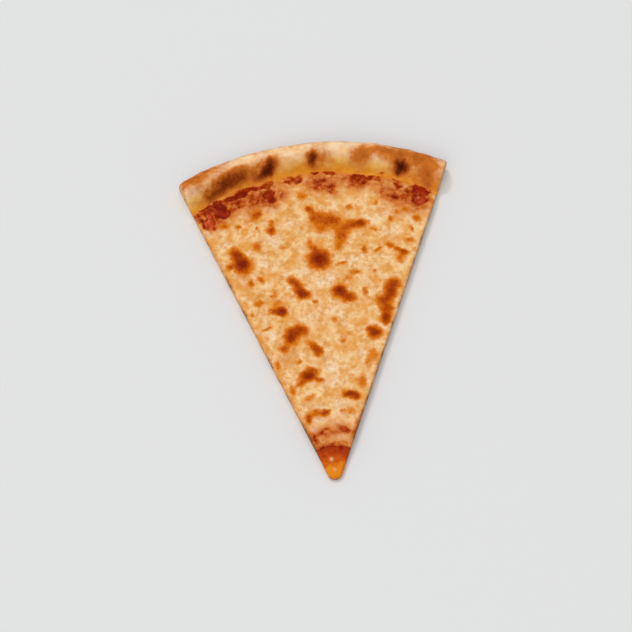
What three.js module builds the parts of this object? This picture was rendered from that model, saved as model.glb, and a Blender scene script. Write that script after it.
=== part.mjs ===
// A slice of cheese pizza: an eighth of an eighteen inch pizza, lying flat.
// Three layers run through it: the dough with its raised rim, the tomato sauce and the melted cheese.
// Millimetres, +Z up. The tip points to -Y and the rim lies at +Y. Every layer is a box bent into a wedge.
import * as THREE from "three";

// Driving dimensions.
const pizzaRadius = 229.5;
const sliceAngle = THREE.MathUtils.degToRad(45);
const tipRounding = 4.3; // radius of the worn point of the wedge
const outerDrop = 5.3; // how far the outer edge falls back half a slice from its furthest point
const furthestAngle = THREE.MathUtils.degToRad(6);

const rimWidth = 22;
const rimHeight = 17;
const crownInset = 9.5; // from the outer edge in to the top of the rim
const edgeHeight = 5; // where the rim's dome meets the outer side
const edgeLift = 1.2; // the outer edge curls up off the table
const sideBulge = 1.6;

const baseThickness = 4;
const tipThickness = 3; // the base thins out towards its point
const tipTaper = 34; // distance from the apex over which it does
const sauceThickness = 1;
const cheeseThickness = 2.1;
const layerGap = 0.3;

const sauceSetback = 1; // from the sauce to the foot of the rim
const cheeseSetback = 4.5; // bare sauce between the cheese and the rim
const bareTip = 19; // bare sauce between the cheese and the tip
const edgeTaper = 5; // width over which the cheese thins out at its two ends
const cutRounding = 1.4; // width over which the cheese rounds down to the cuts
const cutHeight = 0.35; // share of the cheese's height that is left at the cuts
const meltedEdge = 0.45; // cheese thickness at its thinnest

// Unevenness of the baked slice. A wave has a height in millimetres and turns with the angle across the slice.
const rimWidthWaves = [{ height: 0.7, turns: 9, start: 1.6 }];
const crownWaves = [{ height: 0.7, turns: 11, start: 1 }];
const cheeseStartWaves = [{ height: 1.5, turns: 14, start: 1.6 }];
const cheeseEndWaves = [
  { height: 1.6, turns: 31, start: 0 },
  { height: 1.1, turns: 53, start: 2 },
];
const cheeseLumps = { height: 0.35, across: 5.5, along: 6.5, slant: 15 };

const crumbColour = 0xe9c48e;
const sauceColour = 0xb4452a;
const cheeseColour = 0xf0c98c;

const halfAngle = sliceAngle / 2;
const { clamp, lerp, smoothstep } = THREE.MathUtils;

function waves(list, a) {
  return list.reduce((sum, { height, turns, start }) => sum + height * Math.sin(turns * a + start), 0);
}

// Distances from the apex, where the two cuts would meet, for a ray at angle a to the middle of the slice.
const outerRadius = (a) => pizzaRadius - outerDrop * ((a - furthestAngle) / halfAngle) ** 2;

function tipRadius(a) {
  const centre = tipRounding / Math.sin(halfAngle);
  const sideways = centre * Math.sin(a);
  return centre * Math.cos(a) - Math.sqrt(Math.max(0, tipRounding ** 2 - sideways ** 2));
}

const rimRadius = (a) => outerRadius(a) - rimWidth + waves(rimWidthWaves, a);

// The crown's waves only lower it, so the rim is rimHeight high at its highest.
const crownHeight = (a) => rimHeight - crownWaves[0].height + waves(crownWaves, a);

const baseTop = (r) => lerp(tipThickness, baseThickness, smoothstep(r, 0, tipTaper));

// Top of the dough: flat under the sauce, a cosine slope up to the crown, then an elliptic shoulder outwards.
function doughTop(r, a) {
  const crown = outerRadius(a) - crownInset;
  const inner = rimRadius(a);
  if (r <= inner) return baseTop(r);
  if (r <= crown) {
    const rise = 0.5 - 0.5 * Math.cos((Math.PI * (r - inner)) / (crown - inner));
    return lerp(baseThickness, crownHeight(a), rise);
  }
  const out = Math.min(1, (r - crown) / crownInset);
  return lerp(edgeHeight, crownHeight(a), Math.sqrt(1 - out * out));
}

const doughUnderside = (r, a) => edgeLift * smoothstep(r, outerRadius(a) - crownInset, outerRadius(a)) ** 2;

const sauceTop = (r) => baseTop(r) + layerGap + sauceThickness;

// The cheese ends in a wavy line at both of its ends.
const cheeseStart = (a) => tipRadius(a) + bareTip + waves(cheeseStartWaves, a);
const cheeseEnd = (a) => rimRadius(a) - cheeseSetback + waves(cheeseEndWaves, a);

function cheeseHeight(r, a) {
  const toEnds = Math.min(r - cheeseStart(a), cheeseEnd(a) - r);
  const toCut = r * Math.sin(halfAngle - Math.abs(a));
  const ends = smoothstep(toEnds, 0, edgeTaper);
  const cut = Math.sqrt(1 - (1 - clamp(toCut / cutRounding, 0, 1)) ** 2);
  const [x, y] = [r * Math.sin(a), r * Math.cos(a)];
  const { height, across, along, slant } = cheeseLumps;
  const lumps = height * Math.sin(x / across + y / slant) * Math.cos(y / along - x / slant);
  const full = cheeseThickness - height - meltedEdge + lumps;
  return meltedEdge + full * ends * lerp(cutHeight, 1, cut);
}

// A box bent into the wedge: u runs from cut to cut, v outwards and w upwards, each from 0 to 1.
function wedge(name, colour, roughness, [across, along, up], spacing, place) {
  const geometry = new THREE.BoxGeometry(1, 1, 1, across, along, up);
  const corners = geometry.getAttribute("position");
  for (let i = 0; i < corners.count; i++) {
    const [u, v, w] = [corners.getX(i) + 0.5, corners.getY(i) + 0.5, corners.getZ(i) + 0.5];
    const a = lerp(-halfAngle, halfAngle, u);
    const { r, z } = place(a, spacing(v), w);
    corners.setXYZ(i, r * Math.sin(a), r * Math.cos(a), z);
  }
  geometry.computeVertexNormals();
  const material = new THREE.MeshStandardMaterial({ color: colour, roughness, metalness: 0 });
  const mesh = new THREE.Mesh(geometry, material);
  mesh.name = name;
  return mesh;
}

// Half of the rings lie in the rim, closer together towards its outer edge.
const rimShare = 0.5;
function rimSpacing(v) {
  const flatPart = 1 - rimWidth / pizzaRadius;
  if (v < rimShare) return (flatPart * v) / rimShare;
  const inRim = (v - rimShare) / (1 - rimShare);
  return lerp(flatPart, 1, Math.sin((inRim * Math.PI) / 2));
}
const evenSpacing = (v) => v;

const dough = wedge("dough", crumbColour, 0.8, [26, 24, 4], rimSpacing, (a, v, w) => {
  const bulge = sideBulge * (1 - (2 * w - 1) ** 2);
  const outer = outerRadius(a) - sideBulge + bulge;
  const r = lerp(tipRadius(a), outer, v);
  return { r, z: lerp(doughUnderside(r, a), doughTop(r, a), w) };
});

const sauce = wedge("sauce", sauceColour, 0.35, [20, 24, 1], evenSpacing, (a, v, w) => {
  const r = lerp(tipRadius(a), rimRadius(a) - sauceSetback, v);
  return { r, z: lerp(baseTop(r) + layerGap, sauceTop(r), w) };
});

const cheese = wedge("cheese", cheeseColour, 0.45, [24, 40, 1], evenSpacing, (a, v, w) => {
  const r = lerp(cheeseStart(a), cheeseEnd(a), v);
  return { r, z: sauceTop(r) + layerGap + w * cheeseHeight(r, a) };
});

// The origin is the middle of the slice's footprint, on the table.
const slice = new THREE.Group();
slice.add(dough, sauce, cheese);
const footprint = new THREE.Box3().setFromObject(slice);
const middle = footprint.getCenter(new THREE.Vector3());
for (const layer of slice.children) layer.position.set(-middle.x, -middle.y, -footprint.min.z);

export default slice;
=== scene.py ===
import math

import bmesh
import bpy
import numpy as np
from mathutils import Matrix, Vector, noise


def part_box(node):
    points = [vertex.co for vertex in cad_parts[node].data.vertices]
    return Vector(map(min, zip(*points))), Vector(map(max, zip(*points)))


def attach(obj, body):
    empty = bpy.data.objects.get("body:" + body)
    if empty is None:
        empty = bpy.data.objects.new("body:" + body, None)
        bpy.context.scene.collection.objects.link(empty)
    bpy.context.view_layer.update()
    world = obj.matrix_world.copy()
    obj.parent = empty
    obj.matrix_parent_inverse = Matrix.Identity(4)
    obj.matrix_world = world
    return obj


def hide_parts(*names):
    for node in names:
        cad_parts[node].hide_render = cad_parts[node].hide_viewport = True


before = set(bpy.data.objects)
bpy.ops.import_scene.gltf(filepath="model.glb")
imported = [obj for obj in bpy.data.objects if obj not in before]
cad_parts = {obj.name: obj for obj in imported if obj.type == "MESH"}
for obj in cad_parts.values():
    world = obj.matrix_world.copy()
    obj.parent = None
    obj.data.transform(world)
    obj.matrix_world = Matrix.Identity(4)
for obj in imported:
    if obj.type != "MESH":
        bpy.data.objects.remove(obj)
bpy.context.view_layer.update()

mm = 0.001

# Plan of the slice in millimetres: x runs across it, y away from the apex, where the two cuts would meet.
slicePlan = {
    "angle": math.radians(45),
    "tipRounding": 4.3,
    "tipThinning": 1,          # the base is this much thinner at its point
    "tipTaper": 34,            # and has its full thickness from here
    "outerDrop": 5.3,          # the outer edge falls back this far, half a slice from its furthest point
    "furthest": math.radians(6),
    "rimWidth": 22,
    "crownInset": 9.5,
    "sauceThickness": 1,
    "layerGap": 0.3,           # the solids of the layers lie this far apart
    "sauceSwell": 0.1,         # the sauce fills this much of the gap above it
}
halfAngle = slicePlan["angle"] / 2

# The plan is laid into the frame by the dough's tip and its far edge.
doughLow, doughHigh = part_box("dough")
doughTip = min((v.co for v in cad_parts["dough"].data.vertices), key=lambda co: co.y)
tipInset = slicePlan["tipRounding"] * (1 / math.sin(halfAngle) - 1)
apex = Vector((doughTip.x / mm, doughLow.y / mm - tipInset))
sliceRadius = doughHigh.y / mm - apex.y + slicePlan["outerDrop"] * (slicePlan["furthest"] / halfAngle) ** 2

crownLevel = doughHigh.z / mm
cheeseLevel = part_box("cheese")[1].z / mm
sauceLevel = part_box("sauce")[1].z / mm
doughLevel = sauceLevel - slicePlan["sauceThickness"] - slicePlan["layerGap"]


# Smooth change from 0 at low to 1 at high.
def step(value, low, high):
    t = np.clip((value - low) / (high - low), 0, 1)
    return t * t * (3 - 2 * t)


def mix(a, b, share):
    return a + (b - a) * share


# Height of a rounded edge, from 0 at the edge to 1 where the rounding ends.
def quarterRound(away, width):
    return np.sqrt(1 - (1 - np.clip(away / width, 0, 1)) ** 2)


# Noise of one feature size in millimetres, about -0.5 to 0.5.
def noiseOver(x, y, z, size, octaves=3, shift=0.0):
    points = zip(x / size + shift, y / size - shift, z / size + 2 * shift)
    return np.array([noise.fractal(p, 1.0, 2.0, octaves) for p in points])


# Coordinates pushed about by noise, so that what is drawn with them gets a ragged outline.
def warped(x, y, amount, size, shift, octaves=4):
    flat = 0 * x
    return (x + amount * noiseOver(x, y, flat, size, octaves, shift),
            y + amount * noiseOver(x, y, flat, size, octaves, shift + 20))


# Soft oval spots that darken each other where they meet.
def spotsOver(x, y, spots, core=0.2, rim=1.7):
    left = np.ones(len(x))
    for cx, cy, halfX, halfY, turn, strength in spots:
        c, s = math.cos(math.radians(turn)), math.sin(math.radians(turn))
        u = ((x - cx) * c + (y - cy) * s) / halfX
        v = ((y - cy) * c - (x - cx) * s) / halfY
        left *= 1 - strength * (1 - step(np.hypot(u, v), core, rim))
    return 1 - left


# Distance from the apex to the outer edge, in the direction a from the middle of the slice.
def outerRadius(a):
    return sliceRadius - slicePlan["outerDrop"] * ((a - slicePlan["furthest"]) / halfAngle) ** 2


# Distance from the apex to the rounded tip.
def tipRadius(a):
    centre = slicePlan["tipRounding"] / math.sin(halfAngle)
    inside = slicePlan["tipRounding"] ** 2 - (centre * np.sin(a)) ** 2
    return centre * np.cos(a) - np.sqrt(np.maximum(0, inside))


# Distance from the apex to the foot of the rim, which wavers a little.
def rimRadius(a):
    return outerRadius(a) - slicePlan["rimWidth"] + 0.7 * np.cos(9 * a) + 0.6 * np.sin(23 * a + 1)


def baseTopAt(r):
    return doughLevel - slicePlan["tipThinning"] * (1 - step(r, 0, slicePlan["tipTaper"]))


# Sauce and cheese run out where they meet the rim.
def footDip(r, a):
    return step(r - rimRadius(a), -3, 1.5)


# How far inside the slice's edge a place lies, and which way the edge faces there.
def edgeOf(x, y):
    r, a = np.hypot(x, y), np.arctan2(x, y)
    away = r * np.sin(halfAngle - np.abs(a))
    outX, outY = np.sign(a) * math.cos(halfAngle), np.full(len(x), -math.sin(halfAngle))
    rounding = slicePlan["tipRounding"]
    fromX, fromY = x, y - rounding / math.sin(halfAngle)
    far = np.maximum(np.hypot(fromX, fromY), 1e-6)
    facingTip = (fromY < 0) & (np.abs(fromX) < -fromY / math.tan(halfAngle))
    onTip = (r < rounding / math.tan(halfAngle)) & facingTip
    away = np.where(onTip, rounding - far, away)
    return np.maximum(away, 0), np.where(onTip, fromX / far, outX), np.where(onTip, fromY / far, outY)


def coordsOf(mesh, kind="co"):
    values = np.empty(len(mesh.vertices) * 3)
    mesh.vertices.foreach_get(kind, values)
    return values.reshape(-1, 3).T


def placeInFrame(mesh, x, y, z):
    co = np.stack([(x + apex.x) * mm, (y + apex.y) * mm, z * mm], axis=1)
    mesh.vertices.foreach_set("co", co.ravel())
    mesh.update()


def paint(mesh, name, values):
    layer = mesh.attributes.new(name, "FLOAT", "POINT")
    layer.data.foreach_set("value", np.clip(values, 0, 1).astype(np.float32))


def finishPiece(mesh, node, material):
    for face in mesh.polygons:
        face.use_smooth = True
    piece = bpy.data.objects.new(mesh.name, mesh)
    bpy.context.scene.collection.objects.link(piece)
    mesh.materials.append(material)
    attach(piece, "root")
    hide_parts(node)
    print(mesh.name, len(mesh.polygons), "faces")


# Screen colour from 0 to 255 as the shader takes it.
def colour(red, green, blue):
    channels = [c / 255 for c in (red, green, blue)]
    return tuple(c / 12.92 if c <= 0.04045 else ((c + 0.055) / 1.055) ** 2.4 for c in channels) + (1,)


def coloursOf(piece):
    return {name: colour(*channels) for name, channels in piece["colours"].items()}


def feed(tree, socket, value):
    if isinstance(value, bpy.types.NodeSocket):
        tree.links.new(value, socket)
    else:
        socket.default_value = value


def addNode(tree, kind, inputs=None, **settings):
    made = tree.nodes.new(kind)
    for key, value in settings.items():
        setattr(made, key, value)
    for key, value in (inputs or {}).items():
        feed(tree, made.inputs[key], value)
    return made


def mixColour(tree, share, a, b):
    return addNode(tree, "ShaderNodeMix", {0: share, 6: a, 7: b}, data_type="RGBA").outputs[2]


def times(tree, a, b):
    return addNode(tree, "ShaderNodeMath", {0: a, 1: b}, operation="MULTIPLY").outputs[0]


def total(tree, *values):
    result = values[0]
    for value in values[1:]:
        result = addNode(tree, "ShaderNodeMath", {0: result, 1: value}, operation="ADD").outputs[0]
    return result


def attribute(tree, name):
    return addNode(tree, "ShaderNodeAttribute", attribute_name=name).outputs["Fac"]


def newGroup(name, inputs, outputs):
    tree = bpy.data.node_groups.new(name, "ShaderNodeTree")
    for label, kind, value in inputs:
        socket = tree.interface.new_socket(label, in_out="INPUT", socket_type=kind)
        if value is not None:
            socket.default_value = value
    for label, kind in outputs:
        tree.interface.new_socket(label, in_out="OUTPUT", socket_type=kind)
    return tree, tree.nodes.new("NodeGroupInput").outputs, tree.nodes.new("NodeGroupOutput").inputs


def useGroup(tree, group, inputs):
    made = tree.nodes.new("ShaderNodeGroup")
    made.node_tree = group
    for key, value in inputs.items():
        feed(tree, made.inputs[key], value)
    return made.outputs[0]


# Cloudy mask: noise of one feature size in millimetres, cut to a range.
def makeMottle():
    tree, into, out = newGroup(
        "mottle",
        [("Size", "NodeSocketFloat", 5.0), ("Detail", "NodeSocketFloat", 3.0),
         ("Low", "NodeSocketFloat", 0.4), ("High", "NodeSocketFloat", 0.6),
         ("Shift", "NodeSocketFloat", 0.0)],
        [("Mask", "NodeSocketFloat")],
    )
    place = addNode(tree, "ShaderNodeTexCoord").outputs["Object"]
    moved = addNode(tree, "ShaderNodeVectorMath", {0: place, 1: into["Shift"]}, operation="ADD")
    scale = addNode(tree, "ShaderNodeMath", {0: 1 / mm, 1: into["Size"]}, operation="DIVIDE")
    cloud = addNode(
        tree, "ShaderNodeTexNoise",
        {"Vector": moved.outputs[0], "Scale": scale.outputs[0], "Detail": into["Detail"], "Roughness": 0.55},
    )
    ranged = addNode(
        tree, "ShaderNodeMapRange",
        {"Value": cloud.outputs["Fac"], "From Min": into["Low"], "From Max": into["High"]},
        interpolation_type="SMOOTHSTEP",
    )
    feed(tree, out["Mask"], ranged.outputs["Result"])
    return tree


# Colour of a baked surface, from pale through golden and brown to burnt.
def makeBaked():
    stages = ("Pale", "Golden", "Brown", "Burnt")
    tree, into, out = newGroup(
        "baked",
        [("Amount", "NodeSocketFloat", 0.0)] + [(s, "NodeSocketColor", None) for s in stages],
        [("Colour", "NodeSocketColor")],
    )
    result = into["Pale"]
    for i, stage in enumerate(stages[1:]):
        ranged = addNode(
            tree, "ShaderNodeMapRange",
            {"Value": into["Amount"], "From Min": i / 3, "From Max": (i + 1) / 3},
            interpolation_type="LINEAR",
        )
        result = mixColour(tree, ranged.outputs["Result"], result, into[stage])
    feed(tree, out["Colour"], result)
    return tree


# Fine unevenness for the normal: two sizes of noise, all in millimetres.
def makeRelief():
    tree, into, out = newGroup(
        "relief",
        [("Coarse", "NodeSocketFloat", 1.5), ("Fine", "NodeSocketFloat", 0.5),
         ("Depth", "NodeSocketFloat", 0.15)],
        [("Normal", "NodeSocketVector")],
    )
    place = addNode(tree, "ShaderNodeTexCoord").outputs["Object"]
    sizes = []
    for label in ("Coarse", "Fine"):
        scale = addNode(tree, "ShaderNodeMath", {0: 1 / mm, 1: into[label]}, operation="DIVIDE")
        cloud = addNode(
            tree, "ShaderNodeTexNoise", {"Vector": place, "Scale": scale.outputs[0], "Detail": 3.0},
        )
        sizes.append(cloud.outputs["Fac"])
    height = total(tree, sizes[0], times(tree, sizes[1], 0.35))
    depth = times(tree, into["Depth"], mm)
    bump = addNode(tree, "ShaderNodeBump", {"Strength": 1.0, "Distance": depth, "Height": height})
    feed(tree, out["Normal"], bump.outputs["Normal"])
    return tree


mottleGroup, bakedGroup, reliefGroup = makeMottle(), makeBaked(), makeRelief()


# Low and high bound the cut: the closer they are, the harder the patches' edges. The shift moves the pattern,
# so that no two masks lie on each other.
def mottle(tree, size, low, high, shift=0.0, detail=3.0):
    inputs = {"Size": size, "Low": low, "High": high, "Detail": detail, "Shift": shift}
    return useGroup(tree, mottleGroup, inputs)


def baked(tree, amount, pale, golden, brown, burnt):
    inputs = {"Amount": amount, "Pale": pale, "Golden": golden, "Brown": brown, "Burnt": burnt}
    return useGroup(tree, bakedGroup, inputs)


def relief(tree, coarse, fine, depth):
    return useGroup(tree, reliefGroup, {"Coarse": coarse, "Fine": fine, "Depth": depth})


def newMaterial(name):
    material = bpy.data.materials.new(name)
    material.use_nodes = True
    return material, material.node_tree, material.node_tree.nodes["Principled BSDF"].inputs


dough = {
    "rings": 230, "ringsInRim": 84, "rows": 20, "columns": 150,
    "edgeHeight": 5, "edgeLift": 1.2, "sideBulge": 1.6,
    "crownWave": 0.7,
    "crustBumps": 0.55, "fineBumps": 0.35,
    "bumpSize": 11, "fineBumpSize": 3.2,
    "blisterHeight": 0.5, "blisterReach": 1.8,
    "undersideDimples": 0.25, "dimpleSize": 5,
    "tipWear": 0.5, "tipWearWidth": 1.6,
    "tipWearFull": 12, "tipWearEnd": 26,   # distances from the apex
    "poreDepth": 0.9, "smallPore": 1.9, "largePore": 4.2, "smallPoreShare": 0.55,
    "cutWaver": 0.12, "cutWaverSize": 7,
    "leftEndRounding": (4.5, 2.4), "rightEndRounding": (1.6, 0.5),  # of the rim at the cuts: width, depth
    "glazeWidth": 11,                      # the golden fat reaches this far up the rim
    "outerBrownAndShadeWidth": 4,                    # width of the darker outer edge, browned and painted shade
    "colours": {
        "pale": (253, 208, 150), "palest": (255, 224, 182),
        "golden": (210, 118, 40), "brown": (146, 62, 12), "burnt": (76, 22, 4),
        "buttered": (246, 198, 112), "yellow": (232, 158, 44),
        "fat": (204, 122, 12), "lightFat": (226, 152, 40),
        "underPale": (222, 176, 118), "underGolden": (196, 132, 70),
        "underBrown": (128, 70, 30), "underBurnt": (48, 22, 12),
        # scorch: scorching and painted shadow at the bottom of the cuts
        "scorch": (86, 36, 14),
        "crumb": (240, 196, 138), "crumbShade": (222, 160, 90),
    },
}

# Browned places on the rim, and painted shade at the rim's foot near the left end: x, y, half width, half
# length, turn in degrees, strength.
rimBlistersAndShade = [
    (-57, 199, 6.6, 4.4, 50, 0.54), (-50.5, 203.5, 6.6, 3.8, 30, 0.4), (-44.5, 206.5, 6, 3.2, 20, 0.24),
    # (-63.5, 192.5) is painted shade at the rim's foot.
    (-39.5, 206, 4.4, 3.6, 20, 0.2), (-63.5, 192.5, 4.4, 5, 0, 0.34),
    (-29, 209.4, 7, 3.1, 36, 0.6), (-28, 210, 3.6, 2, 36, 0.34), (-24, 213.4, 4, 2.8, 40, 0.24),
    # (-34, 206) is painted shade at the rim's foot.
    (-34, 206, 4, 2.8, 36, 0.24),
    (1.5, 214.5, 2.4, 2.6, 0, 0.7), (1, 214, 4.6, 5.4, 0, 0.3),
    (56, 205.8, 4.4, 2.8, 0, 1), (54.5, 209.6, 4.6, 4.4, 0, 0.3), (59.5, 203.2, 2.8, 2.4, 0, 0.56),
    (49, 213, 4, 3.4, 0, 0.22), (44.5, 205.4, 1.4, 0.7, 0, 0.8),
]

# Broad browned areas of the rim, and painted shade at the rim's foot near the left end, listed in the same
# way.
rimTonesAndShade = [
    (31, 214.8, 6.4, 5, 0, 0.36), (42, 216.6, 9, 3.6, 0, 0.3), (73, 202, 9, 11, 20, 0.36),
    (60, 213.5, 14, 4.4, -20, 0.3), (-76, 201, 8, 5, 22, 0.38), (-65, 208.5, 12, 3.6, 22, 0.3),
    # (-64, 191) is painted shade at the rim's foot.
    (-50, 205, 14, 5.4, 25, 0.22), (-64, 191, 7, 5, 25, 0.3), (6, 216, 8, 5, 0, 0.14),
    (-28, 210, 8.4, 6, 40, 0.2), (66, 208, 3.4, 2.6, 0, 0.22), (73, 196, 3, 3.4, 0, 0.2),
]

# Dark stretches along the right cut and the left, partly scorching and partly painted shadow under the cut
# edges: the distances from the apex where each starts and ends.
scorchAndShadowMarks = {
    1: [(27, 52), (55, 68), (72, 80), (85, 92), (106, 112), (121, 125), (141, 148), (152, 158), (164, 176)],
    -1: [(20, 46), (60, 64), (84, 92), (120, 126), (140, 148)],
}


# Scorching and painted shadow along the cuts, whose marks are frayed and fade out past their ends.
def scorchAndShadowAt(r, a, x, y, z):
    frayed = r + 5 * noiseOver(x, y, z, 2.6, 3, 21.0)
    fadeOut, fadeIn = 2.5, 3
    marked = 0 * r
    for side, marks in scorchAndShadowMarks.items():
        for start, end in marks:
            started = step(frayed, start - fadeOut, start + fadeIn)
            ended = step(frayed, end - fadeIn, end + fadeOut)
            marked = np.maximum(marked, started * (1 - ended) * (side * a > 0))
    return marked


def doughTopAt(r, a):
    crownRadius = outerRadius(a) - slicePlan["crownInset"]
    inner = rimRadius(a)
    crown = crownLevel - dough["crownWave"] + dough["crownWave"] * np.sin(11 * a + 1)
    climb = np.clip((r - inner) / (crownRadius - inner), 0, 1)
    fall = np.clip((r - crownRadius) / slicePlan["crownInset"], 0, 1)
    inside = mix(baseTopAt(r), crown, 0.5 - 0.5 * np.cos(math.pi * climb))
    outside = mix(dough["edgeHeight"], crown, np.sqrt(1 - fall ** 2))
    return np.where(r <= crownRadius, inside, outside)


def undersideAt(r, a):
    outer = outerRadius(a)
    return dough["edgeLift"] * step(r, outer - slicePlan["crownInset"], outer) ** 2


# The section along a cut, as a flat grid 1 to 2 from the apex, is spun from cut to cut.
def spinSection():
    bm = bmesh.new()
    bmesh.ops.create_grid(bm, x_segments=dough["rings"], y_segments=dough["rows"], size=0.5)
    upright = Matrix.Translation((1.5, 0, 0.5)) @ Matrix.Rotation(math.radians(90), 4, "X")
    bmesh.ops.transform(bm, matrix=upright, verts=bm.verts)
    bmesh.ops.spin(
        bm, geom=bm.verts[:] + bm.edges[:] + bm.faces[:], cent=(0, 0, 0), axis=(0, 0, 1), dvec=(0, 0, 0),
        angle=slicePlan["angle"], steps=dough["columns"], use_merge=False,
    )
    bmesh.ops.recalc_face_normals(bm, faces=bm.faces)
    mesh = bpy.data.meshes.new("crust")
    bm.to_mesh(mesh)
    bm.free()
    return mesh


# Rings lie closer together in the rim, and closest at its outer edge.
def ringSpacing(along):
    flatRings = 1 - dough["ringsInRim"] / dough["rings"]
    flatShare = 1 - (slicePlan["rimWidth"] + 2) / sliceRadius
    inRim = np.clip((along - flatRings) / (1 - flatRings), 0, 1)
    inRim = 0.35 * inRim + 0.65 * np.sin(inRim * math.pi / 2)
    return np.where(along < flatRings, flatShare * along / flatRings, mix(flatShare, 1, inRim))


# Rolling bumps and blisters on the rim.
def rimMove(x, y, z, blisters):
    bumps = noiseOver(x, y, z, dough["bumpSize"], 2)
    bumps += dough["fineBumps"] * noiseOver(x, y, z, dough["fineBumpSize"], 2, 3.0)
    return dough["crustBumps"] * bumps + dough["blisterHeight"] * blisters


# Edges that are worn down towards the tip, where they face up.
def tipWearAt(r, away, faceUp):
    nearTip = 1 - step(r, dough["tipWearFull"], dough["tipWearEnd"])
    return dough["tipWear"] * nearTip * (1 - step(away, 0, dough["tipWearWidth"])) * step(faceUp, 0, 0.6)


# The ends of the rim sink towards the cuts, the left one further than the right.
def endRoundingAt(a, away):
    leftWidth, leftDepth = dough["leftEndRounding"]
    rightWidth, rightDepth = dough["rightEndRounding"]
    width = np.where(a < 0, leftWidth, rightWidth)
    depth = np.where(a < 0, leftDepth, rightDepth)
    return depth * (1 - quarterRound(away, width))


# Open crumb of flat bubbles on the cut faces, larger inside the rim.
def crumbMove(x, y, z, inRim, inCrumb):
    smallBubbles = step(noiseOver(x, y, 1.8 * z, dough["smallPore"], 2, 7.0), 0.02, 0.4)
    largeBubbles = step(noiseOver(x, y, 1.7 * z, dough["largePore"], 2, 9.0), 0.05, 0.35)
    pores = np.maximum(dough["smallPoreShare"] * smallBubbles, largeBubbles * inRim)
    waver = dough["cutWaver"] * (noiseOver(x, y, z, dough["cutWaverSize"], 2, 4.0) - 1)
    return waver - dough["poreDepth"] * pores * inCrumb


# Scorching and painted shadow along the bottom of the cuts: a broken line all along, twice as strong on the
# right cut, and the stretches listed above.
def cutScorchAndShadow(r, a, x, y, z, away):
    line = noiseOver(x, y, 0 * x, 7, 4, 10.0) + 0.25 * (1 - step(r, 35, 65))
    line = step(line, -0.05, 0.3) * np.where(a > 0, 1, 0.5) * (1 - step(z, 1.5, 3))
    ragged = z + 2.2 * noiseOver(x, y, z, 2.2, 2, 22.0)
    stretches = 0.85 * scorchAndShadowAt(r, a, x, y, z) * (1 - step(ragged, 1.8, 4.2))
    return np.maximum(line, stretches) * (1 - step(away, 0, 1.5))


def makeDough():
    # The spun grid is laid out along the slice, from cut to cut and from the underside up.
    mesh = spinSection()
    px, py, up = coordsOf(mesh)
    along = np.clip(np.hypot(px, py) - 1, 0, 1)
    turn = 1 - 2 * np.arctan2(py, px) / slicePlan["angle"]
    a = halfAngle * (0.8 * turn + 0.2 * np.sin(turn * math.pi / 2))  # columns lie closer together at the cuts
    bulge = dough["sideBulge"] * (1 - (2 * up - 1) ** 2)
    outer = outerRadius(a) - dough["sideBulge"] + bulge
    r = mix(tipRadius(a), outer, ringSpacing(along))
    x, y = r * np.sin(a), r * np.cos(a)
    z = mix(undersideAt(r, a), doughTopAt(r, a), up)
    placeInFrame(mesh, x, y, z)

    # Skin and cut faces move along their normals, and the underside gets shallow dimples.
    nx, ny, nz = coordsOf(mesh, "normal")
    away = edgeOf(x, y)[0]
    onCut = np.abs(turn) > 0.9999
    inRim = step(r, rimRadius(a) - 2, rimRadius(a) + 6)
    upperRim = inRim * (1 - step(-nz, 0.3, 0.8))
    wx, wy = warped(x, y, 1.8, 4, 5.0)
    blisters = spotsOver(wx, wy, rimBlistersAndShade, 0, dough["blisterReach"])
    fromTop, fromBottom = doughTopAt(r, a) - z, z - undersideAt(r, a)
    inside = np.minimum(fromTop, fromBottom)
    inCrumb = step(inside, 0.25, 1.0) * step(outer - r, 0.3, 1.5)
    skinMove = upperRim * rimMove(x, y, z, blisters) - tipWearAt(r, away, nz)
    move = np.where(onCut, crumbMove(x, y, z, inRim, inCrumb), skinMove)
    x, y, z = x + nx * move, y + ny * move, z + nz * move - upperRim * endRoundingAt(a, away) * up
    underneath = (up < 0.001) & ~onCut
    dimples = np.maximum(0, noiseOver(x, y, z, dough["dimpleSize"], 2, 6.0) + 0.25)
    z = np.maximum(0, z + np.where(underneath, dough["undersideDimples"] * dimples, 0))
    placeInFrame(mesh, x, y, z)

    # What the material reads.
    scorchedAndShaded = cutScorchAndShadow(r, a, x, y, z, away)
    skin = 1 - step(np.minimum(inside, outer - r), 0.15, 0.9)
    paint(mesh, "skin", np.where(onCut, np.maximum(skin, scorchedAndShaded), 1))
    # The blister mask also holds the painted shade at the rim's foot.
    paint(mesh, "charAndShade", np.where(onCut, 0, blisters * upperRim))
    paint(mesh, "scorchedAndShaded", scorchedAndShaded)
    paint(mesh, "toneAndShade", spotsOver(wx, wy, rimTonesAndShade, 0, dough["blisterReach"]))
    paint(mesh, "glaze", 1 - step(r - rimRadius(a), 0, dough["glazeWidth"]))
    paint(mesh, "under", 1 - step(z, 0.4, 2.2))
    # The outer edge is darker: browning, and painted shade where the rim falls away.
    paint(mesh, "outerBrowningAndShade", step(r, outerRadius(a) - dough["outerBrownAndShadeWidth"], outerRadius(a) - 0.3))
    finishPiece(mesh, "dough", crustMaterial())


# The golden fat that gathers at the foot of the rim, on the dough and on the cheese.
def fatColour(tree):
    tints = coloursOf(dough)
    return mixColour(tree, mottle(tree, 9, 0.35, 0.6, 1.3), tints["fat"], tints["lightFat"])


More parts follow.
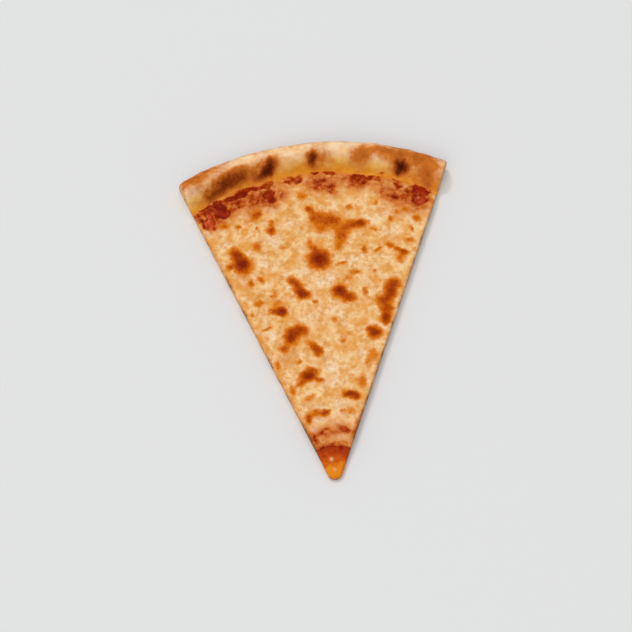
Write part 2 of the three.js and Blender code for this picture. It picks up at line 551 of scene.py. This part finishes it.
def crustMaterial():
    material, tree, shader = newMaterial("bakedCrust")
    tints = coloursOf(dough)
    grain = total(tree, times(tree, mottle(tree, 1, 0.3, 0.7, 0.2), 0.3), 0.82)
    # Browning and painted shade along the outer edge.
    edgeBrowningAndShade = total(tree, times(tree, mottle(tree, 6, 0.35, 0.65, 1.1), 0.36), 0.2)
    # Browning; the tone and char masks also hold painted shade at the rim's foot.
    amount = total(
        tree,
        times(tree, mottle(tree, 11, 0.45, 0.72, 0.3), 0.1),
        times(tree, mottle(tree, 5, 0.44, 0.7, 0.7), 0.1),
        times(tree, mottle(tree, 0.9, 0.4, 0.7, 0.9), 0.05),
        attribute(tree, "toneAndShade"),
        times(tree, attribute(tree, "outerBrowningAndShade"), edgeBrowningAndShade),
        times(tree, attribute(tree, "charAndShade"), grain),
    )
    pale = mixColour(tree, mottle(tree, 8, 0.4, 0.6, 1.7), tints["pale"], tints["palest"])
    patchy = total(tree, times(tree, mottle(tree, 6, 0.3, 0.7, 1.9), 0.4), 0.7)
    glaze = times(tree, attribute(tree, "glaze"), patchy)
    pale = baked(tree, glaze, pale, tints["buttered"], tints["yellow"], fatColour(tree))
    top = baked(tree, amount, pale, tints["golden"], tints["brown"], tints["burnt"])

    fineScorch = times(tree, mottle(tree, 2.2, 0.5, 0.75, 2.5), 0.4)
    scorch = total(tree, mottle(tree, 9, 0.3, 0.75, 2.0, 4.0), fineScorch)
    bottom = baked(
        tree, scorch, tints["underPale"], tints["underGolden"], tints["underBrown"], tints["underBurnt"],
    )
    skinned = mixColour(tree, attribute(tree, "under"), top, bottom)
    # Scorching and painted shadow on the cut faces.
    skinned = mixColour(tree, attribute(tree, "scorchedAndShaded"), skinned, tints["scorch"])
    crumb = mixColour(tree, mottle(tree, 2.4, 0.4, 0.65, 3.0), tints["crumb"], tints["crumbShade"])
    feed(tree, shader["Base Color"], mixColour(tree, attribute(tree, "skin"), crumb, skinned))
    shader["Roughness"].default_value = 0.6
    shader["Specular IOR Level"].default_value = 0.04
    feed(tree, shader["Normal"], relief(tree, 1.6, 0.5, 0.18))
    return material


# A flat grid trimmed to the wedge. Its sides are rows below it, marked -1, -2 and so on in z.
def layerShell(name, spacing, planes, keep, sideRows):
    bm = bmesh.new()
    width = 2 * sliceRadius * math.sin(halfAngle)
    segments = (round(width / spacing), round(sliceRadius / spacing))
    bmesh.ops.create_grid(bm, x_segments=segments[0], y_segments=segments[1], size=0.5)
    bmesh.ops.scale(bm, vec=(width, sliceRadius, 1), verts=bm.verts)
    bmesh.ops.translate(bm, vec=(0, sliceRadius / 2, 0), verts=bm.verts)
    for place, outward in planes:
        bmesh.ops.bisect_plane(
            bm, geom=bm.verts[:] + bm.edges[:] + bm.faces[:], plane_co=place, plane_no=outward,
            clear_outer=True, dist=spacing * 0.05,
        )
    spare = [f for f in bm.faces if not keep(f.calc_center_median())]
    bmesh.ops.delete(bm, geom=spare, context="FACES")
    bmesh.ops.remove_doubles(bm, verts=bm.verts, dist=spacing * 0.3)
    rim = [e for e in bm.edges if e.is_boundary]
    for row in range(sideRows):
        made = bmesh.ops.extrude_edge_only(bm, edges=rim)["geom"]
        lower = [v for v in made if isinstance(v, bmesh.types.BMVert)]
        rim = [e for e in made if isinstance(e, bmesh.types.BMEdge)]
        bmesh.ops.translate(bm, vec=(0, 0, -1), verts=lower)
    bmesh.ops.contextual_create(bm, geom=rim)
    bmesh.ops.recalc_face_normals(bm, faces=bm.faces)
    mesh = bpy.data.meshes.new(name)
    bm.to_mesh(mesh)
    bm.free()
    return mesh


cutPlanes = [
    ((0, 0, 0), (side * math.cos(halfAngle), -math.sin(halfAngle), 0)) for side in (-1, 1)
]


# Planes that touch the rounded tip all round.
def tipPlanes(count=14):
    rounding = slicePlan["tipRounding"]
    centre = Vector((0, rounding / math.sin(halfAngle), 0))
    widest = math.pi / 2 - halfAngle
    planes = []
    for i in range(count):
        a = mix(-widest, widest, (i + 0.5) / count)
        outward = Vector((math.sin(a), -math.cos(a), 0))
        planes.append((centre + rounding * outward, outward))
    return planes


sauce = {
    "spacing": 0.7, "sideRows": 4,
    "lapUp": 4.5,              # runs this far into the rim, where it is buried
    "lumps": 0.3, "lumpSize": 6,
    "edgeRounding": 1.5, "edgeSink": 0.4, "tipSink": 0.5,  # how far the edge lies lower, and more at the tip
    "overlap": 0.2,
    "drapeFrom": 24, "drapeFull": 13,  # distances from the apex where the sauce starts to hang over the edge
    "drapeTo": 1.1, "drapeOut": 0.3,
    "oilyTo": 9, "oilyFrom": 29,       # distances from the apex: all oil, and no oil
    "streaks": 0.34,
    "colours": {
        "pulp": (120, 22, 1), "lightPulp": (152, 38, 4),
        "fresh": (178, 52, 18), "lightFresh": (212, 88, 44),
        "speckle": (188, 70, 24),
        "thinOil": (180, 62, 4), "oil": (206, 90, 8), "thickOil": (228, 134, 24),
        "paintedGlint": (252, 196, 120),
    },
}

# Beads of oil: x, y, radius, height. The sauce's colour is painted lighter on them, as painted highlights.
oilBeads = [
    (-1.4, 17.8, 2.4, 0.8), (0.2, 11.8, 2, 0.6),
    (-66, 178.5, 1.3, 0.35), (-65, 172, 1.5, 0.35), (-67.5, 182, 1.2, 0.3), (66, 186, 1.7, 0.35),
]

# Places where the sauce is a brighter red: x, y, half width, half length, turn in degrees, strength.
brightSauce = [
    (-66.5, 177, 5, 8, 10, 1), (66.5, 184.5, 4.5, 5, 0, 0.6), (5, 200, 7, 5, 0, 0.4), (29, 200, 5, 5, 0, 0.4),
]


def inSauce(place):
    return math.hypot(place.x, place.y) < rimRadius(math.atan2(place.x, place.y)) + sauce["lapUp"]


def makeSauce():
    planes = cutPlanes + tipPlanes()
    mesh = layerShell("tomatoSauce", sauce["spacing"], planes, inSauce, sauce["sideRows"])
    x, y, row = coordsOf(mesh)
    r, a = np.hypot(x, y), np.arctan2(x, y)
    away, outX, outY = edgeOf(x, y)
    drape = 1 - step(r, sauce["drapeFull"], sauce["drapeFrom"])
    bead = 0 * x
    for beadX, beadY, radius, height in oilBeads:
        bead = np.maximum(bead, height * (1 - step(np.hypot(x - beadX, y - beadY), 0.2, radius)))
    top = baseTopAt(r) + slicePlan["sauceThickness"] + slicePlan["sauceSwell"] - footDip(r, a)
    top += sauce["lumps"] * noiseOver(x, y, 0 * x, sauce["lumpSize"], 2, 1.5) + bead
    top -= (sauce["edgeSink"] + sauce["tipSink"] * drape) * (1 - quarterRound(away, sauce["edgeRounding"]))
    bottom = mix(baseTopAt(r) - sauce["overlap"], sauce["drapeTo"], drape)
    share = -row / sauce["sideRows"]
    z = mix(top, bottom, share)
    swell = np.sin(math.pi * np.clip(share + 0.2, 0, 1))
    ooze = np.maximum(0.1 + 0.25 * noiseOver(x, y, z, 5, 2, 8.0) + drape * sauce["drapeOut"], 0.03)
    ooze = ooze * swell * (away < 0.1)
    x, y = x + outX * ooze, y + outY * ooze
    placeInFrame(mesh, x, y, z)
    paint(mesh, "oily", 1 - step(r, sauce["oilyTo"], sauce["oilyFrom"]))
    paint(mesh, "streaky", sauce["streaks"] * (1 - step(r, 22, 30)))
    # The beads' mask also paints highlights into the sauce's colour.
    paint(mesh, "bead", 1.4 * bead ** 1.5)
    paint(mesh, "bright", spotsOver(x, y, brightSauce))
    finishPiece(mesh, "sauce", sauceMaterial())


def sauceMaterial():
    material, tree, shader = newMaterial("cookedTomato")
    tints = coloursOf(sauce)
    pulp = mixColour(tree, mottle(tree, 6, 0.35, 0.65, 4.0, 1.0), tints["pulp"], tints["lightPulp"])
    fresh = mixColour(tree, mottle(tree, 3, 0.35, 0.65, 4.2), tints["fresh"], tints["lightFresh"])
    pulp = mixColour(tree, attribute(tree, "bright"), pulp, fresh)
    pulp = mixColour(tree, times(tree, mottle(tree, 3.6, 0.5, 0.76, 4.4), 0.5), pulp, tints["speckle"])
    streaks = times(tree, total(tree, mottle(tree, 3, 0.3, 0.7, 4.8), -0.5), attribute(tree, "streaky"))
    oil = total(tree, attribute(tree, "oily"), streaks)
    oiled = baked(tree, oil, pulp, tints["thinOil"], tints["oil"], tints["thickOil"])
    bead = attribute(tree, "bead")
    # Painted highlight: the base colour is lightened towards a pale glint colour on the beads of oil.
    feed(tree, shader["Base Color"], mixColour(tree, times(tree, bead, 0.7), oiled, tints["paintedGlint"]))
    shader["Roughness"].default_value = 0.4
    shader["Specular IOR Level"].default_value = 0.03
    feed(tree, shader["Coat Weight"], total(tree, bead, times(tree, mottle(tree, 3, 0.54, 0.7, 9.0), 0.16)))
    shader["Coat Roughness"].default_value = 0.14
    feed(tree, shader["Normal"], relief(tree, 2.6, 0.9, 0.08))
    return material


cheese = {
    "spacing": 0.55, "sideRows": 4,
    "lapUp": 4.5,              # runs this far onto the rim, where it is buried
    "bareTip": 18,             # its mesh starts this far from the apex
    "tipEdge": 7.5,            # and the cheese this much further
    "overlap": 0.2,
    "raggedness": 1.5,
    "tipCover": 0.6,           # cover beside the tip, where 1 is a full layer of cheese
    "leastCover": 0.18,
    "thinBand": 17,            # width beside the rim where the cheese is thin
    "thinning": 0.55, "patchiness": 1.2,
    "sunk": 0.15,              # where there is no cheese its surface lies this far under the sauce, or deeper
    "lumps": 0.4, "lumpSize": 9, "fineLumps": 0.4, "fineLumpSize": 4,
    "pits": 0.08, "pitSize": 1.6, "blisterHeight": 0.6,
    "edgeRounding": 1.6, "edgeShare": 0.45,  # share of its thickness that is left at the cuts
    "film": 0.12,              # share of its thickness that is left at the foot of the rim
    "strands": 0.42,           # how much thin strands of cheese close the places where the sauce shows
    "drips": 0.9, "dripSize": 7,
    "bulge": 0.25, "bulgeChange": 0.3,
    "colours": {
        "cream": (245, 207, 150), "butter": (232, 165, 86), "shade": (228, 162, 84),
        "milkAndHighlight": (249, 227, 194), "gold": (220, 136, 36), "fleck": (208, 138, 46), "rosy": (228, 160, 128),
        "tinted": (212, 126, 60), "soakedAndShaded": (176, 66, 14), "drenched": (134, 26, 1),
        "cutEdge": (222, 134, 46), "searedAndShaded": (128, 56, 18),
        "golden": (218, 120, 14), "brown": (178, 70, 0), "burnt": (124, 30, 0),
    },
}

# Browned spots on the cheese: x, y, half width, half length, turn in degrees, strength.
cheeseBlisters = [
    (-46.8, 145, 5.6, 6.2, 20, 1), (-50.5, 152.5, 3.8, 4.6, 30, 0.76), (-54.5, 144, 2.3, 2.6, 0, 0.6),
    (0.5, 145.5, 6.8, 6.8, 0, 1), (-2.8, 153, 2.2, 3, 20, 0.5), (-4.5, 158, 1.8, 2.4, 0, 0.45),
    (11.5, 123, 4.6, 4.4, 0, 0.95), (16.5, 118.5, 4.6, 3.4, 0, 0.74),
    (-17.5, 132, 2.5, 3, 30, 0.6), (-13.5, 127.5, 3, 5, 25, 0.76), (-11, 122.3, 4.6, 3, -10, 0.86),
    (-24, 111.3, 3, 3.2, 0, 0.95), (-28.5, 112.3, 4.2, 2.2, 0, 0.7), (-27, 117, 2.8, 2.6, 0, 0.36),
    (44.5, 126, 4.8, 3.6, 0, 0.72), (42, 120.5, 4.4, 4.8, 0, 0.78), (37.5, 115.5, 5, 3.6, 0, 0.66),
    (38.5, 109.5, 4.2, 4.4, 0, 0.68), (37.5, 103, 3.4, 3.8, 0, 0.86),
    (30, 94.3, 4.2, 4, 0, 0.88), (26.5, 97, 2.4, 1.8, 0, 0.55),
    (-14.5, 98.4, 4.8, 4.2, 0, 0.8), (-20, 93.8, 4.2, 4.4, 0, 0.9), (-20.5, 99, 3, 2.4, 0, 0.55),
    (-24.5, 87.5, 3.2, 2.8, 0, 0.6), (-7.5, 88.2, 2.6, 3.2, 40, 0.62), (-4.6, 84.5, 2.8, 3.8, 25, 0.76),
    (-11, 69.2, 4.8, 3.4, 0, 0.97), (-15, 66, 2.8, 2.8, 0, 0.6), (-5, 65.6, 3, 1.8, -20, 0.6),
    (-8.5, 73, 4.4, 1.6, -15, 0.5), (-17.5, 63.5, 2.6, 1.6, 30, 0.4),
    (11.2, 56, 3.8, 2.4, 0, 0.92), (15.8, 54.4, 2.8, 2.6, 0, 0.74), (-3, 45.3, 2.8, 2.1, 20, 0.78),
    (-7.5, 45.8, 2.4, 1.8, 0, 0.5), (-13, 42, 2.3, 3, 0, 0.68), (-10.5, 45, 2.6, 1.6, 30, 0.3),
    (5.5, 173, 8, 5.5, 0, 0.6), (-1, 176, 3, 5, 0, 0.45), (12, 171, 5, 4, 0, 0.45),
    (27.5, 169, 4.8, 3.2, 0, 0.76), (21, 168.5, 4.4, 3.2, 0, 0.58), (16, 164, 5.4, 4, 0, 0.55),
    (15, 158.5, 4, 3.8, 0, 0.46), (13, 153.5, 2.4, 3, 0, 0.42), (3, 166, 4, 3, 0, 0.4),
    (-3.6, 181, 2.4, 2.3, 20, 0.66), (-28, 167.5, 3, 2.8, 0, 0.68), (-27.5, 172.5, 2.2, 2.8, 0, 0.48),
    (-36.5, 179, 2.6, 4.6, -40, 0.66), (-37, 156.5, 3, 3, 0, 0.52), (-37, 169.8, 1.3, 1.2, 0, 0.5),
    (-48, 171.5, 2, 1.8, 0, 0.5), (-57, 172.5, 3.4, 2.2, 0, 0.5), (29, 150.5, 2.2, 2.6, 0, 0.58),
    (37.5, 150, 3.4, 1.4, 20, 0.46), (44.5, 152.5, 3, 1.7, -15, 0.5), (52.5, 147.2, 3.2, 2, -10, 0.72),
    (49, 150, 2, 1.8, 0, 0.5), (51, 143, 2.8, 3.6, 0, 0.42), (57, 155, 2.8, 1.8, 0, 0.5),
    (22, 135.5, 4.2, 2, 0, 0.42), (17, 132, 2.8, 2.6, 0, 0.28), (33.5, 135.5, 1.4, 1.8, 0, 0.4),
    (14, 142, 3.4, 1.4, 10, 0.38), (-42, 131.5, 2, 2.6, 0, 0.5), (-36, 134, 1.5, 4, 30, 0.46),
    (-38, 117.5, 2.7, 2.8, 0, 0.5), (-42.5, 110.5, 1.5, 1.4, 0, 0.42), (-34, 100.6, 3.4, 1.1, 15, 0.44),
    (-28, 123, 1.9, 3, 0, 0.32), (-30.5, 122.5, 1.1, 1.1, 0, 0.5), (-4, 117, 1.8, 1.4, 0, 0.46),
    (26.8, 122, 1.6, 3, 0, 0.46), (28, 80, 2.8, 4.6, -15, 0.34), (24.5, 74.5, 2.2, 2.6, 0, 0.28),
    (20, 64, 2.8, 4, 0, 0.4), (10.5, 91, 2.4, 2.6, 0, 0.34), (6.5, 104.5, 1.9, 2.4, 0, 0.36),
    (-16, 78, 2, 1.4, 0, 0.46), (-29, 77, 1.8, 3, 0, 0.46), (-21, 60.5, 1.8, 3, 0, 0.5),
    (-11.5, 55, 3, 2, 30, 0.36), (12, 46, 2, 2.4, 0, 0.3), (7, 45.5, 2, 1.4, 0, 0.3),
    (22, 181, 2.2, 2, 0, 0.46), (39, 183, 1.2, 2, 0, 0.44), (47, 171, 1.8, 2, 0, 0.5),
    (57, 177, 2, 1.9, 0, 0.5), (63, 170.3, 2.8, 2.2, 0, 0.52), (51, 176, 1.4, 2.2, 0, 0.46),
    (59.5, 163, 1.4, 3, 20, 0.42), (-7, 191.5, 3.4, 3.4, 0, 0.42), (-20.5, 155, 2.4, 1.2, 0, 0.36),
    (36.5, 164, 2.6, 1.6, -30, 0.36),
]

# Places where the cheese is thick and white, listed in the same way; the strokes turned along the left cut
# are painted highlights on the wet cheese there.
milkyPatchesAndHighlights = [
    (-27, 160, 5, 6, 0, 0.9), (-57, 162, 4, 6, 0, 0.9), (22, 145, 7, 4.6, 0, 0.8), (5, 132, 8, 4.6, 0, 0.8),
    (-35, 147, 5, 6, 20, 0.7), (8, 112, 6, 5, 0, 0.7), (-8, 140, 4, 5, 0, 0.6), (-30, 182, 3, 5, 0, 0.6),
    (36, 172, 7, 4, 0, 0.7), (-14, 172, 5, 4, 0, 0.6), (3, 76, 5, 6, 0, 0.7), (30, 139, 5, 3, 0, 0.5),
    # From (-36, 106) on, the strokes turned 100 to 112 degrees along the left cut are painted highlights.
    (-6, 105, 5, 5, 0, 0.6), (50, 164, 5, 4, 0, 0.5), (-36, 106, 6, 2, 112, 0.9), (-31, 94, 5, 2, 112, 0.9),
    (-24.5, 74, 6, 1.8, 112, 0.9), (-19.5, 64, 4, 1.8, 112, 0.8), (-14.5, 48, 4, 2, 100, 0.8),
    (-5.5, 41.5, 5.4, 3, 4, 0.8), (3, 31.5, 5, 2.4, 8, 0.8), (-7, 49, 5, 2.8, 0, 0.7),
    (2.8, 64, 7, 5, 0, 0.75), (9.5, 50, 4, 3, 0, 0.6), (4, 43.5, 4.6, 2.4, 0, 0.6), (-4, 82, 6, 4, 20, 0.5),
]

# Places where the sauce shows through: x, y, half width, half length, turn in degrees, strength.
sauceWindows = [
    (-66.5, 178, 4.8, 9.5, 12, 0.95), (-57, 182.5, 4.2, 6.4, 0, 0.95), (-64, 187.8, 9, 2.8, 26, 0.95),
    (-50, 194.2, 7, 2.2, 24, 0.86), (-39, 198.8, 8, 2.4, 20, 0.88), (-46, 189, 2.6, 5.6, -18, 0.66),
    (-36, 191, 3, 4.2, 0, 0.6), (-27, 191.5, 4.6, 5.2, 0, 0.92), (-41, 181, 1.8, 5, -35, 0.34),
    (-19, 193.5, 1.9, 3, 0, 0.5), (3, 199, 3, 4, 0, 0.62), (8, 203, 3.4, 2, 0, 0.5),
    (12, 196, 2.9, 4.4, 0, 0.8), (29, 200.8, 5, 4, 0, 0.66), (52, 188, 4.6, 3, 10, 0.78),
    (60, 190.5, 4, 2, 0, 0.66), (67, 191.2, 7.5, 3, -14, 0.95), (66.5, 184.5, 4.8, 5.6, 0, 0.92),
    (72, 189.6, 3.6, 2.6, -14, 0.9), (-4.5, 33.8, 4.8, 1.9, 8, 0.46), (-9.4, 30.4, 2.1, 3.6, 12, 0.46),
    (7, 35.4, 4, 1.8, -38, 0.6),
]

# Places where the cheese is soaked with sauce, listed in the same way; the two thin lines along the cuts near
# the tip are painted shade of the cut walls.
sauceStainsAndShade = [
    (-62, 181, 9, 9, 10, 0.75), (-49, 188, 7, 7, 10, 0.62), (-37, 191, 7, 7, 0, 0.62),
    (-27, 191, 7, 8, 0, 0.62), (-18, 194, 4.5, 5, 0, 0.4), (-39, 180, 3.5, 6, -35, 0.34),
    (-20, 202, 9, 3, 12, 0.3), (4, 200, 9, 7, 0, 0.62), (12, 195, 5, 6, 0, 0.5),
    (28, 200, 8, 7, 0, 0.6), (19, 203, 7, 3.5, 0, 0.3), (41, 198, 9, 4, -12, 0.34),
    (53, 187, 9, 7, 0, 0.56), (44, 191, 6, 4.5, 0, 0.4), (66, 185, 7, 9, 0, 0.72), (57, 176, 9, 5, 0, 0.2),
    (-3, 33, 8, 3.4, 8, 0.5), (7, 34.5, 5.5, 3, -35, 0.5), (0, 26, 10, 2.6, 0, 0.56),
    # (-12.4, 30) and (14.4, 36) are painted shade along the cut edges near the tip.
    (-10, 28, 3, 6, 25, 0.4), (-12.4, 30, 9, 2, 112.5, 0.6), (14.4, 36, 9, 1.3, 67.5, 0.5),
    (-8, 45, 4, 3, 0, 0.3), (-22, 84, 5, 7, 0, 0.16), (-46, 136, 6, 6, 0, 0.16),
]


def inCheese(place):
    r, a = math.hypot(place.x, place.y), math.atan2(place.x, place.y)
    return cheese["bareTip"] < r < rimRadius(a) + cheese["lapUp"]


# How much cheese covers the sauce, from 1 down to 0 at its edge, and below 0 where none does.
def cheeseCover(x, y):
    r, a = np.hypot(x, y), np.arctan2(x, y)
    flat = 0 * x
    ragged = noiseOver(x, y, flat, 5, 3, 11.0)
    patchy = noiseOver(x, y, flat, 8, 3, 13.0)
    toRim = rimRadius(a) + 5 - r + cheese["raggedness"] * ragged
    toTip = r - cheese["bareTip"] - cheese["tipEdge"] + cheese["raggedness"] * ragged
    thinRim = 1 - step(toRim, 6, cheese["thinBand"] + 3)
    nearRim = 1 - thinRim * (cheese["thinning"] + cheese["patchiness"] * patchy)
    nearTip = mix(cheese["tipCover"], 1, step(toTip, 3, 22))
    ends = step(toTip, -0.6, 0.8)
    wx, wy = warped(x, y, 2.2, 6, 12.0, 2)
    strands = step(noiseOver(x, y, flat, 6, 1, 19.0), -0.05, 0.3) * step(r, 60, 120)
    windows = spotsOver(wx, wy, sauceWindows) * (1 - cheese["strands"] * strands)
    cover = np.maximum(np.minimum(nearRim, nearTip), cheese["leastCover"]) * ends - 0.6 * (1 - ends)
    return np.clip(cover * (1 - windows) - 0.4 * windows, mix(-0.6, -0.1, ends), 1)


# Height of the cheese above the sauce in millimetres, below zero where there is none.
def cheeseThickness(x, y, cover, toast, toFoot, away):
    flat = 0 * x
    lumps = noiseOver(x, y, flat, cheese["lumpSize"], 2, 15.0)
    lumps += cheese["fineLumps"] * noiseOver(x, y, flat, cheese["fineLumpSize"], 2, 16.0)
    pits = step(noiseOver(x, y, flat, cheese["pitSize"], 2, 17.0), 0.1, 0.5)
    full = cheeseLevel - sauceLevel - slicePlan["layerGap"]
    thick = full * np.sign(cover) * np.abs(cover) ** 0.75 - cheese["sunk"] * (1 - step(cover, -0.15, 0.15))
    uneven = cheese["lumps"] * lumps - cheese["pits"] * pits + cheese["blisterHeight"] * toast ** 2
    thick = thick + uneven * step(cover, 0.05, 0.5)
    towardsRim = mix(cheese["film"], 1, step(toFoot, -0.5, 6))
    towardsCut = mix(cheese["edgeShare"], 1, quarterRound(away, cheese["edgeRounding"]))
    return np.where(thick > 0, thick * towardsRim * towardsCut, thick)


def makeCheese():
    mesh = layerShell("meltedCheese", cheese["spacing"], cutPlanes, inCheese, cheese["sideRows"])
    x, y, row = coordsOf(mesh)
    r, a = np.hypot(x, y), np.arctan2(x, y)
    away, outX, outY = edgeOf(x, y)
    toFoot = rimRadius(a) - r
    cover = cheeseCover(x, y)
    wx, wy = warped(x, y, 0.9, 4.5, 14.0)
    toast = spotsOver(wx, wy, cheeseBlisters, 0.2, 1.65)
    thick = cheeseThickness(x, y, cover, toast, toFoot, away)
    sauceTop = baseTopAt(r) + slicePlan["sauceThickness"] + slicePlan["layerGap"] - footDip(r, a)
    bottom = sauceTop - slicePlan["sauceSwell"] - cheese["overlap"] + np.minimum(thick, 0)
    share = -row / cheese["sideRows"]
    along = noiseOver(x, y, 0 * x, cheese["dripSize"], 2, 18.0)
    drip = cheese["drips"] * step(along, 0.1, 0.6) * (away < 0.4)
    z = mix(sauceTop + thick, bottom - drip, share)
    bulge = (cheese["bulge"] + cheese["bulgeChange"] * along) * (1 - step(away, 0, 0.5))
    bulge *= step(cover, -0.4, 0) * np.sin(math.pi * np.clip(share, 0.15, 0.9))
    x, y = x + outX * bulge, y + outY * bulge
    placeInFrame(mesh, x, y, z)
    paint(mesh, "toast", toast)
    # The same marks darken the cheese's cut edges: partly scorching, partly painted shadow.
    paint(mesh, "searedAndShaded", scorchAndShadowAt(r, a, x, y, z) * (1 - step(away, 0, 0.9)))
    stainsAndShade = spotsOver(wx, wy, sauceStainsAndShade, 0, 1.7)
    # Sauce soaking, with painted shade along the cut edges near the tip.
    paint(mesh, "soakedAndShaded", np.maximum(0.95 * (1 - step(cover, -0.1, 0.8)), stainsAndShade))
    paint(mesh, "fatty", 1 - step(toFoot, -0.5, 4.5))
    paint(mesh, "milkyAndHighlights", spotsOver(wx, wy, milkyPatchesAndHighlights, 0, 1.6))
    paint(mesh, "tipVeil", 1 - step(r, 28, 54))
    paint(mesh, "cutEdge", (1 - step(away, 0.3, 2.8)) * np.where(x < 0, 1, 0.35))
    finishPiece(mesh, "cheese", cheeseMaterial())


# Specks with a wavering outline, one to a cell. Their radius is a share of the cell's size.
def specks(tree, size, radius):
    place = addNode(tree, "ShaderNodeTexCoord").outputs["Object"]
    waver = addNode(tree, "ShaderNodeTexNoise", {"Vector": place, "Scale": 1.6 / (mm * size)})
    reach = 0.7 * size * mm
    moved = addNode(
        tree, "ShaderNodeVectorMath", {0: waver.outputs["Color"], 1: (reach, reach, reach), 2: place},
        operation="MULTIPLY_ADD",
    )
    cells = addNode(tree, "ShaderNodeTexVoronoi", {"Vector": moved.outputs[0], "Scale": 1 / (mm * size)})
    ranged = addNode(
        tree, "ShaderNodeMapRange",
        {"Value": cells.outputs["Distance"], "From Min": radius, "From Max": 0.2 * radius},
        interpolation_type="SMOOTHSTEP",
    )
    return ranged.outputs["Result"]


def cheeseMaterial():
    material, tree, shader = newMaterial("meltedCheese")
    tints = coloursOf(cheese)
    base = mixColour(tree, mottle(tree, 7, 0.36, 0.62, 0.0, 2.5), tints["butter"], tints["cream"])
    base = mixColour(tree, times(tree, mottle(tree, 2.8, 0.42, 0.7, 0.4), 0.5), base, tints["shade"])
    milkyAndHighlights = times(tree, mottle(tree, 5, 0.3, 0.6, 2.2, 2.0), attribute(tree, "milkyAndHighlights"))
    milkyAndHighlights = total(tree, milkyAndHighlights, times(tree, mottle(tree, 8, 0.54, 0.72, 2.6, 1.5), 0.5))
    # Whiter cheese, and painted highlights along the left cut.
    base = mixColour(tree, times(tree, milkyAndHighlights, 0.95), base, tints["milkAndHighlight"])
    areas = mottle(tree, 13, 0.36, 0.62, 5.8)
    golden = times(tree, mottle(tree, 2.4, 0.46, 0.74, 5.1, 5.0), total(tree, times(tree, areas, 0.6), 0.2))
    base = mixColour(tree, golden, base, tints["gold"])
    flecks = times(tree, specks(tree, 4.6, 0.56), mottle(tree, 9, 0.34, 0.58, 5.6, 1.0))
    base = mixColour(tree, times(tree, flecks, 0.6), base, tints["fleck"])

    veil = times(tree, attribute(tree, "tipVeil"), mottle(tree, 5, 0.3, 0.6, 6.2))
    base = mixColour(tree, times(tree, veil, 0.8), base, tints["rosy"])
    base = mixColour(tree, times(tree, attribute(tree, "fatty"), 0.9), base, fatColour(tree))
    uneven = total(tree, times(tree, mottle(tree, 3.2, 0.32, 0.68, 6.0), 0.8), 0.66)
    # Soaked cheese, and painted shade along the cut edges near the tip.
    soakedAndShaded = times(tree, attribute(tree, "soakedAndShaded"), uneven)
    base = baked(tree, soakedAndShaded, base, tints["tinted"], tints["soakedAndShaded"], tints["drenched"])
    edge = times(tree, attribute(tree, "cutEdge"), mottle(tree, 5, 0.3, 0.6, 6.5))
    base = mixColour(tree, times(tree, edge, 0.6), base, tints["cutEdge"])

    grain = total(tree, mottle(tree, 1.2, 0.2, 0.8, 7.0), mottle(tree, 3, 0.2, 0.8, 7.3), -1.0)
    amount = total(tree, attribute(tree, "toast"), times(tree, grain, 0.2))
    base = baked(tree, amount, base, tints["golden"], tints["brown"], tints["burnt"])
    patchy = total(tree, times(tree, mottle(tree, 2.4, 0.36, 0.62, 5.3), 0.6), 0.24)
    # Scorching and painted shadow at the cheese's cut edges.
    base = mixColour(tree, times(tree, attribute(tree, "searedAndShaded"), patchy), base, tints["searedAndShaded"])
    feed(tree, shader["Base Color"], base)
    shader["Roughness"].default_value = 0.5
    shader["Specular IOR Level"].default_value = 0.04
    untoasted = total(tree, 1.0, times(tree, attribute(tree, "toast"), -1.0))
    wet = times(tree, mottle(tree, 3, 0.58, 0.7, 8.0), 0.5)
    feed(tree, shader["Coat Weight"], times(tree, wet, untoasted))
    shader["Coat Roughness"].default_value = 0.18
    feed(tree, shader["Normal"], relief(tree, 1.3, 0.45, 0.2))
    return material


studio = {
    "floor": (226, 227, 228),
    "elevation": math.radians(65), "heading": math.radians(4),
    "distance": 0.746, "lens": 70,
    "aim": Vector((-3.9, 110.8)),  # on the table, in the slice's plan
    "room": 0.46,
    # Each light: where it stands as seen from the slice, how wide it looks in degrees, and its strength.
    "lights": {
        "ceiling": ((-0.1, 0.25, 1), 50, 0.75),
        "window": ((-0.35, 0.5, 1.1), 9, 0.5),
        "front": ((-0.4, -0.8, 0.8), 40, 0.75),
    },
}


def makeCamera():
    aim = Vector(((apex.x + studio["aim"].x) * mm, (apex.y + studio["aim"].y) * mm, 0))
    back = Vector((0, -math.cos(studio["elevation"]), math.sin(studio["elevation"])))
    back.rotate(Matrix.Rotation(-studio["heading"], 3, "Z"))
    data = bpy.data.cameras.new("camera")
    data.lens = studio["lens"]
    data.clip_start = 0.01
    camera = bpy.data.objects.new("camera", data)
    camera.location = aim + back * studio["distance"]
    camera.rotation_euler = (-back).to_track_quat("-Z", "Y").to_euler()
    bpy.context.scene.collection.objects.link(camera)
    bpy.context.scene.camera = camera


def makeLights():
    for name, (place, width, strength) in studio["lights"].items():
        data = bpy.data.lights.new(name, "SUN")
        data.angle = math.radians(width)
        data.energy = strength
        light = bpy.data.objects.new(name, data)
        light.location = place
        light.rotation_euler = (-light.location).to_track_quat("-Z", "Y").to_euler()
        bpy.context.scene.collection.objects.link(light)


def makeStudio():
    bm = bmesh.new()
    bmesh.ops.create_grid(bm, x_segments=2, y_segments=2, size=2)
    mesh = bpy.data.meshes.new("floor")
    bm.to_mesh(mesh)
    bm.free()
    floor = bpy.data.objects.new("floor", mesh)
    bpy.context.scene.collection.objects.link(floor)
    material, tree, shader = newMaterial("paleFloor")
    shader["Base Color"].default_value = colour(*studio["floor"])
    shader["Roughness"].default_value = 0.7
    mesh.materials.append(material)

    world = bpy.data.worlds.new("room")
    bpy.context.scene.world = world
    world.use_nodes = True
    world.node_tree.nodes["Background"].inputs["Color"].default_value = (1, 0.99, 0.98, 1)
    world.node_tree.nodes["Background"].inputs["Strength"].default_value = studio["room"]
    bpy.context.scene.view_settings.view_transform = "Standard"
    print("studio with", len(studio["lights"]), "lights")


makeCamera()
makeLights()
makeStudio()
makeDough()
makeSauce()
makeCheese()
